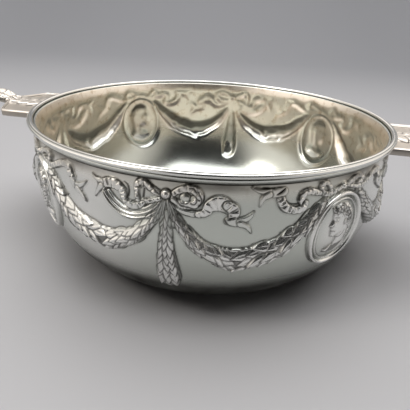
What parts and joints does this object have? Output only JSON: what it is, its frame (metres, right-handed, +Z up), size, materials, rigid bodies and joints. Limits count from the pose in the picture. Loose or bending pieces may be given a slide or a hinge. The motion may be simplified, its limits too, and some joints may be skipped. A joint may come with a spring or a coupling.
{
  "type": "two-handled vegetable dish",
  "caption": "Round open silver vegetable dish with a moulded lip, chased garlands and oval portrait medallions round the wall, and a flat ear handle on each side.",
  "frame": {"origin": "centre of the flat bottom, where the dish stands", "axes": "+X through the right handle, +Z up; -Y is the side seen from the front"},
  "size_m": [0.249, 0.165, 0.0655],
  "materials": {
    "silver_bowl": "old polished silver, dark tarnish in the hollows of the ornament",
    "silver_wire": "bright polished silver, dark in the grooves",
    "silver_handle": "satin worn silver with a warm tone"
  },
  "bodies": {
    "root": {"bowl_body": "silver_bowl", "rim_wire": "silver_wire", "collar_wire": "silver_wire", "handle_left": "silver_handle", "handle_right": "silver_handle"}
  },
  "joints": []
}
